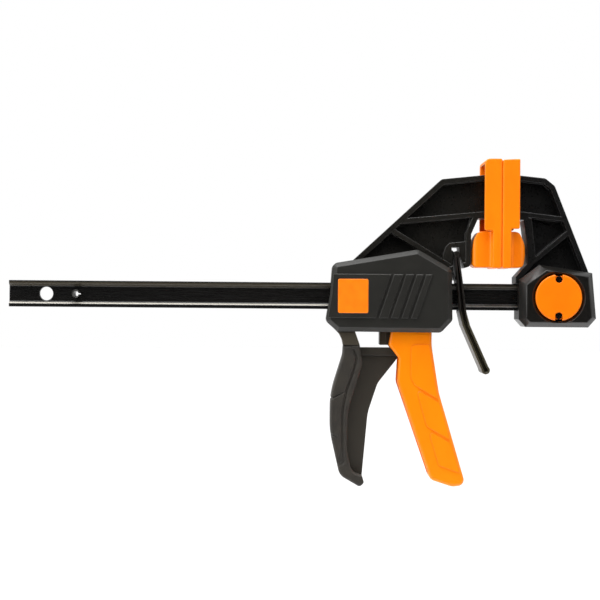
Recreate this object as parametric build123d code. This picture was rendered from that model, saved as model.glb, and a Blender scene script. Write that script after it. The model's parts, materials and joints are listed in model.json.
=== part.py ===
from build123d import *
from math import atan2, degrees, hypot
import os

# One-handed quick release bar clamp, 6 inch size, closed.
#
# The piece is laid out about its bar. Points in outlines are (x, z): x runs along the bar, 0 at the
# plane where the two pads meet and growing towards the fixed jaw, and z runs up from the bar's axis.
# y is the depth, with the near side at minus. All lengths are in millimetres.

# ---- Driving dimensions ----------------------------------------------------------------------

OPENING = 152.4  # widest gap between the pads
RUN = 0.3  # gap at moving faces
SLACK = 1.0  # how far a cut runs past the face that it opens
FIT = 0.2  # gap between pieces that are screwed or clipped together
PIN_FIT = 0.05  # radial gap of a pin in its bore
BOND = 0.05  # bond line of a moulded-on skin

BAR_HEIGHT = 16.8  # I section of the bar
BAR_WIDTH = 7.0
BAR_WEB = 3.0
FLANGE_EDGE = 2.1  # flange thickness at its edge
FLANGE_ROOT = 3.6  # flange thickness at the web
LOCK_HOLE = 8.6  # hole for the lock pin, one at each end of the bar
HEAD_INSET = 20.0  # lock hole to the end of the bar in the fixed jaw
TAIL_INSET = 23.4  # lock hole to the free end of the bar
STOP_PIN = 5.0  # rolled pin that stops the moving jaw
STOP_PIN_WALL = 0.7
STOP_PIN_LENGTH = 13.0
STOP_SPARE = 2.9  # room left between the body and the stop pin at full opening
STOP_TO_HOLE = 19.3

JAW_WEB = 5.0  # thickness of the jaws' middle wall
RIM = 3.3  # thickness of the rim round a jaw
RIM_WIDTH = 18.0  # width of rims and ribs across the jaw
RIB = 3.0
NOSE_WIDTH = 16.0  # block at the foot of the moving jaw
NOSE_FRONT = -18.8  # front of that block, behind the pad's heel
TONGUE_WIDTH = 23.4  # plate at the front of a jaw, inside the pad
TONGUE_THICK = 2.4
JAW_TOP = 77.2  # height of the jaws' front top corner
JAW_HEAD_FOOT = 49.6  # underside of the jaws' heads

PAD_FACE = 5.8  # thickness of a pad's face plate
PAD_WIDTH = 30.0
PAD_TOP = 86.6
PAD_FOOT = 18.2
PAD_WALL = 3.2
PAD_BACK = 11.0  # depth of the cap that grips the jaw's head
PAD_CORNERS = {-1: 3.0, 1: 0.6}  # round at the rear top corner of the moving and the fixed jaw's pad
PAD_CAP_FEET = {-1: 41.6, 1: 42.8}
PAD_SLOPE = 0.6  # how far the fixed jaw's pad falls off towards its face
PAD_HEEL_WIDTH = 20.0  # block at the pad's foot
PAD_HEEL_TOP = 41.2
PAD_HEEL_EDGE = 4.0  # round along the heel's back
PAD_HEEL_BLEND = 2.4  # hollow round between the heel and the face plate
PAD_SEAM = 0.8  # bevel round a pad's face

BODY_FRONT = -30.4  # front of the covers round the mechanism
BODY_REAR = -109.8
BODY_FOOT = -22.6
BODY_DEPTH = 30.0  # over both covers, without the raised panels
BODY_BEVEL = 2.8
COVER_WALL = 2.4
PANEL_RAISE = 1.0
PANEL_TOP = 13.6
PANEL_FOOT = -13.6
PANEL_END = -43.6  # the panel's front top corner
PANEL_LEAN = 9.3  # how far the panel's slanted end leans over its height
PANEL_BARS = [3.7, 4.1, 4.7, 5.6]  # bars between the grooves, from the front
PANEL_GROOVE = 1.9
BADGE_WIDTH = 19.0
BADGE_HEIGHT = 21.4
BADGE_X = -92.9
BADGE_THICK = 0.9
BADGE_ROUND = 1.2
BADGE_PROUD = 0.1

CAGE_WIDTH = 18.0  # inner frame between the covers
CAGE_REAR = -97.5  # rear wall of the mechanism's chamber
CAGE_FRONT = -40.2  # front wall of the chamber
CAGE_ROOF = 13.2
LUG_WIDTH = 8.8  # middle of the frame that holds the trigger's pin

SCREW = 3.0  # cover screws
SCREW_HEAD = 5.4
SCREW_HEAD_DEPTH = 2.0
BODY_SCREW_TIP = 1.4  # from a screw's tip to the near cover's face
BODY_SCREW_SINK = 0.2  # how far the heads lie below the far cover's face
BOX_SCREW_TIP = 3.8
BOX_SCREW_SINK = 2.2
CROSS_LENGTH = 0.6  # cross recess, as a share of the head
CROSS_WIDTH = 0.16
CROSS_DEPTH = 0.5
BODY_BOSS = 6.0
BOX_BOSS = 7.6

PIVOT_X = -50.0  # trigger's pin, above the bar
PIVOT_Z = 14.5
PIVOT_PIN = 5.0
PIVOT_PIN_LENGTH = 22.0
TRIGGER_WIDTH = 20.0
TRIGGER_FRONT = -43.0  # front of the trigger where it leaves the covers
TRIGGER_CHANNEL = 15.2
TRIGGER_WALL = 3.2
TRIGGER_EDGE = 2.0  # round along the trigger's front
TRIGGER_EDGE_ENDS = (-118.0, -21.0)  # heights that the round runs between
TRIGGER_PANEL_RAISE = 0.5  # raised panels on the trigger's sides
TRIGGER_PANEL_INSET = 1.6
ARM_IN = 5.0  # fork arms of the trigger, on both sides of the bar
ARM_OUT = 8.4
ARM_EYE = 14.0

PLATE_REAR = -75.7  # rear face of the pair of drive plates
PLATE_THICK = 3.4
PLATE_WIDTH = 12.8
PLATE_TOP = 12.5
PLATE_FOOT = -30.7

DRIVE_WIRE = 1.4
DRIVE_COIL = 20.2  # mean diameter of the spring round the bar
DRIVE_TURNS = 5
BRAKE_WIRE = 0.8
BRAKE_COIL = 4.8
BRAKE_TURNS = 6
BRAKE_Z = 13.0
BRAKE_POCKET = 7.4  # depth of the spring's pocket behind the body's front

LEVER_WIDTH = 20.0  # cast release lever
LEVER_RIM = 1.2  # thickness of the rim round the pockets in its sides
LEVER_POCKET = 4.0  # depth of the pockets
LEVER_DEPTHS = [2.8, 3.8, 4.4, 4.8, 5.2]  # at the points of its path, from the top
LEVER_BEAD = 3.4  # round top of the lever, which it tilts on
LEVER_PIVOT_X = -27.8
LEVER_PIVOT_Z = 27.2

HANDLE_WEB = 4.6
HANDLE_FLANGE = 9.0
HANDLE_FLANGE_THICK = 4.8
HANDLE_TOP = -32.5
HANDLE_FOOT = -113.6
HANDLE_REAR = -100.0
HANDLE_FRONT = -60.2
FLANGE_ENDS = (-92.0, -63.0)  # rear and front end of the flange along the handle's top
NECK_WIDTH = 18.0
CORE_WIDTH = 15.0  # plastic core inside the grip
CORE_INSET = 2.6
GRIP_TOP = -31.0
GRIP_WIDTH = 18.6
GRIP_EDGE = 1.5
GRIP_PAD_WIDTH = 20.0  # raised pad on the grip's sides
GRIP_NOTCH = 1.1

BOX_DEPTH = 32.0  # over both covers of the lock box
BOX_BEVEL = 5.6
BOX_WALL = 2.2
HUB_WIDTH = 18.0
LOCK_X = 35.5  # axis of the lock
BUTTON = 29.0
BUTTON_THICK = 3.0
BUTTON_PROUD = 0.6
WELL_BEVEL = 1.9  # bevel round the button's well
BUTTON_EDGE = 0.5
LOCK_TRAVEL = 3.6  # how far the button is pressed in
LOCK_CLEAR = 0.4  # from the web to the lock pin when the button is pressed
LOCK_PIN = 8.4
TIE_Z = 11.5  # tie screws pass above and below the bar
TIE_SCREW = 3.0
TIE_HEAD = 4.0
TIE_HEAD_DEPTH = 1.5
TIE_BOSS = 5.8
NOTCH = 4.6
NOTCH_DEPTH = 1.9
LOCK_WIRE = 0.9
LOCK_COIL = 9.6
LOCK_TURNS = 4
LOCK_POCKET = 4.0

# ---- Places worked out from them --------------------------------------------------------------

BAR_TOP = BAR_HEIGHT / 2
BAR_HEAD = LOCK_X + HEAD_INSET
STOP_X = BODY_REAR - OPENING - STOP_SPARE - STOP_PIN / 2
TAIL_HOLE_X = STOP_X - STOP_TO_HOLE
BAR_TAIL = TAIL_HOLE_X - TAIL_INSET
JAW_FRONT = PAD_FACE + RUN  # front of a jaw's head, behind the pad
PAD_MIDDLE = (PAD_TOP + PAD_FOOT) / 2
PLATE_FRONT = PLATE_REAR + 2 * PLATE_THICK
PANEL_FACE = BODY_DEPTH / 2 + PANEL_RAISE
HANDLE_FLANGE_FOOT = HANDLE_TOP - HANDLE_FLANGE_THICK
NOSE_FOOT = HANDLE_TOP + 1.2  # foot of the trigger's bar that pushes the plates
BUTTON_FACE = BOX_DEPTH / 2 + BUTTON_PROUD
BUTTON_BACK = BUTTON_FACE - BUTTON_THICK
LEVER_SEAT = LEVER_PIVOT_X + LEVER_BEAD / 2 + FIT
LEVER_SLOT_REAR = LEVER_PIVOT_X - LEVER_BEAD / 2 - RUN
OPENING_REAR = -105.2  # the covers' opening for the neck and the trigger
OPENING_FRONT = TRIGGER_FRONT + 1.6
OPENING_TOP = -17.0
NECK_REAR = OPENING_REAR + RUN

BODY = [
    (-105.7, 20.4),
    (-52.3, 29.5),
    (BODY_FRONT - 0.6, 17.2),
    (BODY_FRONT, -14.8),
    (-37.6, BODY_FOOT),
    (-102.6, BODY_FOOT + 0.3),
    (BODY_REAR, -16.0),
    (-107.2, 1.0),
]
BODY_ROUNDS = [4, 4, 4, 3.5, 4, 3.5, 4, 20]

MOVING_JAW = [
    (-95.7, 20.0),
    (-37.6, 73.9),
    (-JAW_FRONT, JAW_TOP),
    (-JAW_FRONT, JAW_HEAD_FOOT),
    (-14.6, JAW_HEAD_FOOT - 0.3),
    (NOSE_FRONT, 39.5),
    (NOSE_FRONT, 19.4),
    (-36.0, 14.0),
    (-94.0, 14.0),
]
MOVING_JAW_ROUNDS = [0, 3.5, 0, 0, 0, 0, 3, 0, 0]
MOVING_RIBS = [((-66.0, 47.0), (-8.0, 52.6)), ((-70.0, 42.4), (-32.0, 19.2))]

NOSE = [
    (-19.4, JAW_HEAD_FOOT + 0.4),
    (-22.3, 34.9),
    (-32.2, 33.8),
    (-34.4, 31.4),
    (-36.1, 26.0),
    (-36.1, 14.0),
    (-30.0, 14.0),
    (-22.6, 19.4),
    (NOSE_FRONT, 19.4),
    (NOSE_FRONT, 39.5),
    (-14.6, JAW_HEAD_FOOT - 0.3),
]
NOSE_ROUNDS = [0, 1.2, 1.5, 0, 0, 0, 0, 0, 3, 0, 0]
LEVER_SLOT = [
    (LEVER_SLOT_REAR - 1.1, 31.2),
    (LEVER_SEAT - 0.4, 31.2),
    (LEVER_SEAT, 28.8),
    (LEVER_SEAT, 25.6),
    (-24.3, 22.5),
    (-22.9, 18.0),
    (-22.9, 10.0),
    (LEVER_SLOT_REAR, 10.0),
    (LEVER_SLOT_REAR, 28.6),
    (LEVER_SLOT_REAR - 1.1, 29.5),
]

FIXED_JAW = [
    (JAW_FRONT, JAW_TOP),
    (27.6, 75.0),
    (33.6, 70.2),
    (56.4, 13.0),
    (14.0, BAR_TOP),
    (9.4, BAR_TOP),
    (9.4, 12.8),
    (16.6, 21.0),
    (16.2, 34.0),
    (14.2, JAW_HEAD_FOOT - 1.0),
    (JAW_FRONT, JAW_HEAD_FOOT),
]
FIXED_JAW_ROUNDS = [0, 3.5, 3.5, 0, 0, 0, 1, 0, 0, 0, 0]
FIXED_RIBS = [((8.0, 53.0), (42.0, 49.0)), ((17.6, 50.0), (20.6, 24.0)), ((43.5, 42.0), (12.0, 15.5))]

PAD_HEEL_FOOT = PAD_FOOT + PAD_SEAM / 2
PAD_HEELS = {  # back of the heel of the moving and the fixed jaw's pad, from the top
    -1: [(14.2, PAD_HEEL_TOP), (17.2, 36.0), (18.2, 28.4), (18.4, PAD_HEEL_FOOT)],
    1: [(11.3, PAD_HEEL_TOP), (15.2, 32.6), (15.6, 27.0), (14.0, PAD_HEEL_FOOT)],
}
PAD_HEEL_ROUNDS = {-1: [3.4, 10, 20, 3], 1: [4, 12, 12, 3]}

LOCK_BOX = [
    (11.3, -13.9),
    (11.3, 11.0),
    (24.0, 20.5),
    (57.2, 15.6),
    (59.8, -13.0),
    (54.9, -18.6),
    (15.6, -18.6),
]

CHAMBER = [
    (CAGE_REAR, CAGE_ROOF),
    (CAGE_REAR, -12.4),
    (-91.6, -17.0),
    (-91.2, BODY_FOOT - 4.0),
    (CAGE_FRONT, BODY_FOOT - 4.0),
    (CAGE_FRONT, BAR_TOP + RUN),
    (-63.0, BAR_TOP + RUN),
    (-63.0, CAGE_ROOF),
]
NECK = [
    (NECK_REAR, -16.0),
    (NECK_REAR, -20.3),
    (-101.2, -23.9),
    (-99.3, -27.6),
    (-98.7, GRIP_TOP + BOND),
    (-88.2, GRIP_TOP + BOND),
    (-91.2, BODY_FOOT),
    (-91.2, -16.0),
]
NECK_ROUNDS = [0, 0, 5, 8, 0, 0, 0, 0]
TANG = [(-96.6, -28.0), (-95.0, -40.0), (-90.0, -40.0), (-88.2, GRIP_TOP), (-89.6, -28.0)]

HANDLE = [
    (-91.0, BODY_FOOT),
    (-87.7, HANDLE_TOP),
    (HANDLE_FRONT, HANDLE_TOP),
    (HANDLE_FRONT, -34.0),
    (-76.6, -55.0),
    (-82.7, -73.6),
    (-86.2, HANDLE_FOOT),
    (-98.0, -110.0),
    (HANDLE_REAR, -75.0),
    (-94.0, -42.0),
    (-97.0, BODY_FOOT),
]
HANDLE_ROUNDS = [0, 0, 0, 0.5, 12, 30, 0, 4, 20, 10, 0]
GRIP = [
    (-98.6, GRIP_TOP),
    (-98.9, -37.0),
    (-106.6, -62.0),
    (-106.6, -86.0),
    (-100.4, -112.8),
    (-87.6, -120.2),
    (-84.8, -117.6),
    (-86.2, -113.0),
    (-92.8, -110.6),
    (-96.0, -97.0),
    (-95.4, -72.0),
    (-86.2, -42.0),
    (-88.6, GRIP_TOP),
]
GRIP_ROUNDS = [0, 14, 60, 60, 8, 2.2, 1.8, 1.8, 6, 30, 40, 10, 0]
GRIP_PAD = [
    (-93.6, GRIP_TOP - 0.4),
    (-90.0, -39.4),
    (-96.4, -59.4),
    (-99.4, -74.0),
    (-99.6, -97.0),
    (-104.0, -113.0),
    (-112.0, -113.0),
    (-112.0, GRIP_TOP - 0.4),
]
GRIP_PAD_ROUNDS = [0, 3, 30, 40, 20, 0, 0, 0]
GRIP_NOTCHES = [((-112.0, -68.0), (-97.4, -60.2)), ((-112.0, -89.6), (-104.9, -87.9))]

TRIGGER = [
    (-68.4, -20.0),
    (-70.2, -30.6),
    (-63.8, -38.9),
    (-64.6, -54.0),
    (-43.2, -115.2),
    (-29.5, -119.6),
    (-20.9, -118.5),
    (-38.2, -60.5),
    (TRIGGER_FRONT, -31.0),
    (TRIGGER_FRONT, -20.0),
]
TRIGGER_ROUNDS = [0, 2.5, 0.8, 8, 5, 8, 4, 40, 30, 0]
TRIGGER_PANELS = [
    [(-38.0, -30.2), (-56.0, -30.2), (-56.0, -51.6), (-53.3, -55.9), (-34.0, -67.2), (-30.0, -50.0)],
    [(-34.0, -69.0), (-52.6, -58.1), (-45.8, -81.6), (-25.0, -93.4), (-25.0, -75.0)],
    [(-25.0, -95.2), (-44.6, -84.0), (-38.2, -106.0), (-18.0, -113.2), (-15.0, -100.0)],
]
TRIGGER_PANEL_ROUNDS = [[0, 3, 4, 3, 0, 0], [0, 1.5, 2.5, 0, 0], [0, 1.5, 3, 0, 0]]
TRIGGER_ARM = [(-57.0, PIVOT_Z), (-66.0, -22.0), (-43.2, -22.0), (-43.2, PIVOT_Z)]
TRIGGER_HOLLOW = [
    (-90.0, NOSE_FOOT),
    (-55.0, NOSE_FOOT),
    (-50.0, -60.0),
    (-35.0, -108.0),
    (-37.0, -112.0),
    (-90.0, -112.0),
]
TRIGGER_THROAT = [
    (-61.0, -36.0),
    (-61.0, -15.0),
    (TRIGGER_FRONT - TRIGGER_WALL, -15.0),
    (TRIGGER_FRONT - TRIGGER_WALL, -36.0),
]
PLATE_ROOM = [
    (-80.0, -60.0),
    (-80.0, -20.0),
    (PLATE_FRONT + RUN, -20.0),
    (PLATE_FRONT + RUN, -60.0),
]

COVER_SCREWS = [(-101.2, 12.5), (-68.0, 19.0), (-101.0, -13.0), (-35.8, -13.5)]
BOX_SCREWS = [(24.4, 13.6), (48.6, 11.8), (19.0, -12.6), (52.0, -12.6)]

LEVER_PATH = [(-29.3, LEVER_PIVOT_Z), (-27.6, 9.0), (-25.9, -9.5), (-23.9, -18.0), (-11.6, -46.0)]


# ---- Ways of making shapes --------------------------------------------------------------------


def outline(points, rounds=0):
    """A closed outline, with its corners rounded where a radius is given."""
    if rounds == 0:
        return make_face(Polyline(*points, close=True).edges())
    return make_face(FilletPolyline(*points, radius=rounds, close=True).edges())


def slab(face, low, high):
    """A solid between the depths low and high with the outline of a face."""
    return extrude(Plane.XZ.offset(-high) * face, high - low, dir=(0, -1, 0))


def middle_slab(face, width):
    """A solid of the given width across the clamp's middle plane."""
    return slab(face, -width / 2, width / 2)


def both_sides(face, inner, outer):
    """Two equal solids, one on each side of the middle plane."""
    return slab(face, inner, outer) + slab(face, -outer, -inner)


def inset(face, amount):
    return offset(face, -amount, kind=Kind.INTERSECTION)


def rod(x, z, diameter, low, high):
    """A round bar across the clamp."""
    return Pos(x, (low + high) / 2, z) * Rot(90, 0, 0) * Cylinder(diameter / 2, high - low)


def strip(start, end, thickness):
    """A straight strip from one point to another."""
    run, rise = end[0] - start[0], end[1] - start[1]
    turned = Rot(0, 0, degrees(atan2(rise, run))) * Rectangle(hypot(run, rise), thickness)
    return Pos((start[0] + end[0]) / 2, (start[1] + end[1]) / 2) * turned


def block(x_low, x_high, z_low, z_high):
    """A rectangle given by its edges."""
    middle = Pos((x_low + x_high) / 2, (z_low + z_high) / 2)
    return middle * Rectangle(x_high - x_low, z_high - z_low)


def facing(points, side):
    """Points of an outline given for the fixed jaw, turned to the side of either jaw."""
    return [(side * x, z) for x, z in points]


def bar_passage(x_low, x_high, gap):
    """The room that the bar takes, with a gap round it."""
    return middle_slab(block(x_low, x_high, -BAR_TOP - gap, BAR_TOP + gap), BAR_WIDTH + 2 * gap)


def cross_recess(x, z, head):
    """The outline of a screw's cross."""
    arm, width = head * CROSS_LENGTH / 2, head * CROSS_WIDTH / 2
    return block(x - arm, x + arm, z - width, z + width) + block(x - width, x + width, z - arm, z + arm)


def coil(diameter, wire, turns, length):
    """A compression spring standing on z = 0, of four-sided wire."""
    pitch = (length - wire) / turns
    path = Helix(pitch, length - wire, diameter / 2)
    section = Plane(path @ 0, z_dir=path % 0) * RegularPolygon(wire / 2, 4)
    return Pos(0, 0, wire / 2) * sweep(section, path, is_frenet=True)


# ---- Bar --------------------------------------------------------------------------------------


def make_bar():
    """An I section with sloping inner faces, drilled for the lock pin and the stop pin."""
    edge = BAR_TOP - FLANGE_EDGE
    root = BAR_TOP - FLANGE_ROOT
    half, web = BAR_WIDTH / 2, BAR_WEB / 2
    corner = [(half, BAR_TOP), (half, edge), (web, root)]
    right = corner + [(y, -z) for y, z in reversed(corner)]
    section = right + [(-y, z) for y, z in reversed(right)]
    bar = extrude(Plane.YZ.offset(BAR_TAIL) * outline(section), BAR_HEAD - BAR_TAIL, dir=(1, 0, 0))
    for x in (LOCK_X, TAIL_HOLE_X):
        bar -= rod(x, 0, LOCK_HOLE, -BAR_WIDTH, BAR_WIDTH)
    return bar - rod(STOP_X, 0, STOP_PIN, -BAR_WIDTH, BAR_WIDTH)


def make_stop_pin():
    """A pin rolled from sheet, open along one side."""
    half = STOP_PIN_LENGTH / 2
    pin = rod(STOP_X, 0, STOP_PIN, -half, half)
    pin -= rod(STOP_X, 0, STOP_PIN - 2 * STOP_PIN_WALL, -half, half)
    slit = block(STOP_X, STOP_X + STOP_PIN, -STOP_PIN_WALL / 2, STOP_PIN_WALL / 2)
    return pin - middle_slab(slit, STOP_PIN_LENGTH)


# ---- Jaws and pads ----------------------------------------------------------------------------


def jaw_shell(face, rib_lines, side):
    """The open part of a jaw: middle wall, rim, ribs and the tongue behind the pad."""
    shell = middle_slab(face, JAW_WEB)
    shell += middle_slab(face, RIM_WIDTH) - middle_slab(inset(face, RIM), RIM_WIDTH)
    for start, end in rib_lines:
        shell += middle_slab(strip(start, end, RIB) & face, RIM_WIDTH)
    low, high = sorted((side * JAW_FRONT, side * (JAW_FRONT + TONGUE_THICK)))
    return shell + middle_slab(block(low, high, JAW_HEAD_FOOT, JAW_TOP), TONGUE_WIDTH)


def make_fixed_jaw_frame():
    """The fixed jaw with the hub at its foot, which the bar's end and the lock sit in."""
    jaw, box = outline(FIXED_JAW, FIXED_JAW_ROUNDS), outline(LOCK_BOX)
    frame = jaw_shell(jaw, FIXED_RIBS, 1)
    frame += middle_slab(jaw & box, RIM_WIDTH)
    frame += middle_slab(inset(box, BOX_WALL + FIT), HUB_WIDTH)
    frame -= bar_passage(JAW_FRONT, BAR_HEAD + FIT, FIT)
    half = HUB_WIDTH / 2
    through = BOX_DEPTH / 2
    frame -= rod(LOCK_X, 0, LOCK_PIN + 4 * PIN_FIT, 0, through)
    frame -= rod(LOCK_X, 0, LOCK_COIL + LOCK_WIRE + 2 * RUN, -through, LOCK_POCKET - half)
    for z in (-TIE_Z, TIE_Z):
        frame -= rod(LOCK_X, z, TIE_SCREW + 2 * RUN, -through, through)
    for x, z in BOX_SCREWS:
        frame -= rod(x, z, SCREW + 2 * FIT, -through, through)
    return frame


def make_pad(side):
    """A soft pad: a face plate, a cap that slips over the jaw's head and a heel at its foot."""
    cap_foot = PAD_CAP_FEET[side]
    top = PAD_TOP if side < 0 else PAD_TOP - PAD_SLOPE
    cap = [(0, cap_foot), (0, top), (PAD_BACK, PAD_TOP), (PAD_BACK, cap_foot)]
    plate = [(0, PAD_FOOT), (0, cap_foot), (PAD_FACE, cap_foot), (PAD_FACE, PAD_FOOT)]
    form = outline(facing(cap, side), [0, 0, PAD_CORNERS[side], 1]) + outline(facing(plate, side))
    pad = middle_slab(form, PAD_WIDTH)
    front = pad.faces().filter_by(Axis.X).sort_by(Axis.X)[-1 if side < 0 else 0]
    pad = chamfer(front.outer_wire().edges(), PAD_SEAM)
    pad += make_heel(side)
    room = block(*sorted((side * PAD_FACE, side * (PAD_BACK + SLACK))), cap_foot, PAD_TOP - PAD_WALL)
    return pad - middle_slab(room, TONGUE_WIDTH + 2 * FIT)


def make_heel(side):
    """The block at a pad's foot, rounded along its back and blended into the face plate."""
    back = [(PAD_SEAM, PAD_HEEL_TOP)] + PAD_HEELS[side] + [(PAD_SEAM, PAD_HEEL_FOOT)]
    profile = outline(facing(back, side), [0] + PAD_HEEL_ROUNDS[side] + [0])
    depth, half = max(x for x, z in PAD_HEELS[side]), PAD_HEEL_WIDTH / 2
    flare = half + PAD_HEEL_BLEND + PAD_SEAM
    low = [(PAD_SEAM, -flare), (PAD_FACE, -flare), (PAD_FACE, -half), (depth, -half)]
    plan = facing(low + [(x, -y) for x, y in reversed(low)], side)
    rounds = [0, 0, PAD_HEEL_BLEND, PAD_HEEL_EDGE]
    base = Pos(0, 0, PAD_HEEL_FOOT) * outline(plan, rounds + rounds[::-1])
    column = extrude(base, PAD_HEEL_TOP - PAD_HEEL_FOOT, dir=(0, 0, 1))
    return column & middle_slab(profile, PAD_WIDTH)


def make_moving_jaw_frame():
    """The moving jaw, the cage of the mechanism below it and the handle, moulded in one."""
    jaw = outline(MOVING_JAW, MOVING_JAW_ROUNDS)
    frame = jaw_shell(jaw, MOVING_RIBS, -1)
    frame += middle_slab(outline(NOSE, NOSE_ROUNDS), NOSE_WIDTH)
    frame += make_cage(jaw)
    frame -= arms_room()
    frame += make_handle_core()
    frame -= middle_slab(outline(LEVER_SLOT), RIM_WIDTH)
    frame -= bar_passage(BODY_REAR, BODY_FRONT, RUN)
    frame -= brake_pocket(BRAKE_POCKET, SLACK)
    frame -= rod(PIVOT_X, PIVOT_Z, PIVOT_PIN, -PIVOT_PIN_LENGTH / 2, PIVOT_PIN_LENGTH / 2)
    for x, z in COVER_SCREWS:
        frame -= rod(x, z, SCREW + 2 * FIT, -BODY_DEPTH / 2, BODY_DEPTH / 2)
    return frame


def make_cage(jaw):
    """The frame between the covers, with the chamber for the drive spring and the plates."""
    body = outline(BODY, BODY_ROUNDS)
    cage = middle_slab(inset(body, COVER_WALL + FIT), CAGE_WIDTH)
    cage += middle_slab(jaw & body, RIM_WIDTH)
    return cage - middle_slab(outline(CHAMBER), BODY_DEPTH)


def arms_room():
    """The room for the trigger's arms, on both sides of the lug that holds its pin."""
    room = Pos(PIVOT_X, PIVOT_Z) * Circle(ARM_EYE / 2 + SLACK)
    room += block(TRIGGER_ARM[1][0], CAGE_FRONT, BAR_TOP, PIVOT_Z)
    return both_sides(room, LUG_WIDTH / 2, BODY_DEPTH / 2)


def brake_pocket(depth, ahead):
    """The hole for the brake spring, from ahead of the body's front to the given depth."""
    middle = Pos(BODY_FRONT + (ahead - depth) / 2, 0, BRAKE_Z) * Rot(0, 90, 0)
    return middle * Cylinder((BRAKE_COIL + BRAKE_WIRE) / 2 + RUN, depth + ahead)


# ---- Handle and grip --------------------------------------------------------------------------


def make_handle_core():
    """The neck, the thin web in front of the grip and the bar of plastic inside it."""
    core = middle_slab(outline(NECK, NECK_ROUNDS), NECK_WIDTH)
    core += middle_slab(outline(TANG), CORE_WIDTH)
    core += middle_slab(outline(HANDLE, HANDLE_ROUNDS), HANDLE_WEB)
    core += middle_slab(block(*FLANGE_ENDS, HANDLE_FLANGE_FOOT, HANDLE_TOP), HANDLE_FLANGE)
    return core + middle_slab(inset(outline(GRIP, GRIP_ROUNDS), CORE_INSET), CORE_WIDTH)


def make_grip():
    """A rubber skin over the core, with a raised pad and notches on its sides."""
    face = outline(GRIP, GRIP_ROUNDS)
    grip = rounded_slab(face, GRIP_WIDTH, GRIP_EDGE)
    grip += rounded_slab(face & outline(GRIP_PAD, GRIP_PAD_ROUNDS), GRIP_PAD_WIDTH, GRIP_EDGE)
    for start, end in GRIP_NOTCHES:
        line = strip(start, end, GRIP_NOTCH)
        grip -= both_sides(line, GRIP_WIDTH / 2, GRIP_PAD_WIDTH / 2)
        grip -= middle_slab(line - inset(face, GRIP_NOTCH), GRIP_PAD_WIDTH)
    return grip - core_room(face)


def rounded_slab(face, width, radius):
    """A slab across the middle plane with both its rims rounded."""
    form = middle_slab(face, width)
    ends = form.faces().sort_by(Axis.Y)
    return fillet(ends[0].edges() + ends[-1].edges(), radius)


def core_room(face):
    """What the core, tang, web and flange of the handle take out of the grip."""
    room = middle_slab(inset(face, CORE_INSET - BOND), CORE_WIDTH + 2 * BOND)
    room += middle_slab(offset(outline(TANG), BOND, kind=Kind.INTERSECTION), CORE_WIDTH + 2 * BOND)
    web = block(HANDLE_REAR, HANDLE_FRONT, HANDLE_FOOT - FIT, GRIP_TOP + SLACK)
    room += middle_slab(web, HANDLE_WEB + 2 * BOND)
    flange = block(HANDLE_REAR, HANDLE_FRONT, HANDLE_FLANGE_FOOT - BOND, HANDLE_TOP + BOND)
    return room + middle_slab(flange, HANDLE_FLANGE + 2 * BOND)


# ---- Covers -----------------------------------------------------------------------------------


def bevelled(face, depth, bevel):
    """Half of a cover's outer form, from the middle plane to its bevelled near face."""
    form = slab(face, -depth, 0)
    return chamfer(form.faces().sort_by(Axis.Y)[0].edges(), bevel)


def add_bosses(cover, form, places, boss, low, high):
    """Screw bosses inside a cover, kept within its outer form."""
    for x, z in places:
        cover += rod(x, z, boss, low, high) & form
    return cover


def panel_outline(face):
    """The raised panel, cut by four slanted grooves that stand closer towards its end."""
    panel = outline(
        [
            (BODY_REAR, PANEL_TOP),
            (PANEL_END, PANEL_TOP),
            (PANEL_END - PANEL_LEAN, PANEL_FOOT),
            (BODY_REAR, PANEL_FOOT),
        ]
    )
    reach = PANEL_LEAN / (PANEL_TOP - PANEL_FOOT) * SLACK
    x = PANEL_END
    for bar in PANEL_BARS:
        x -= bar + PANEL_GROOVE / 2
        top = (x + reach, PANEL_TOP + SLACK)
        foot = (x - PANEL_LEAN - reach, PANEL_FOOT - SLACK)
        panel -= strip(top, foot, PANEL_GROOVE)
        x -= PANEL_GROOVE / 2
    return panel & inset(face, PANEL_RAISE)


def make_body_cover():
    """The near cover, without what is only on one side."""
    face = outline(BODY, BODY_ROUNDS)
    depth = BODY_DEPTH / 2
    inside = COVER_WALL - depth
    form = bevelled(face, depth, BODY_BEVEL)
    cover = form + slab(panel_outline(face), -PANEL_FACE, BODY_BEVEL - depth)
    cover -= slab(inset(face, COVER_WALL), inside, 0)
    cover = add_bosses(cover, form, COVER_SCREWS, BODY_BOSS, inside, -CAGE_WIDTH / 2 - FIT)
    cover += rod(PIVOT_X, PIVOT_Z, PIVOT_PIN + 2 * COVER_WALL, inside, -ARM_OUT - RUN)
    cover -= rod(PIVOT_X, PIVOT_Z, PIVOT_PIN + 2 * PIN_FIT, -PIVOT_PIN_LENGTH / 2 - FIT, 0)
    for points, rounds, width in (
        (MOVING_JAW, MOVING_JAW_ROUNDS, RIM_WIDTH),
        (NOSE, NOSE_ROUNDS, NOSE_WIDTH),
    ):
        room = offset(outline(points, rounds), FIT, kind=Kind.INTERSECTION)
        cover -= middle_slab(room, width + 2 * FIT)
    opening = block(OPENING_REAR, OPENING_FRONT, BODY_FOOT - SLACK, OPENING_TOP)
    cover -= middle_slab(opening, TRIGGER_WIDTH + 2 * RUN)
    cover -= bar_passage(BODY_REAR - SLACK, BODY_FRONT + SLACK, RUN)
    return cover - brake_pocket(COVER_WALL + SLACK, SLACK)


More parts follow.
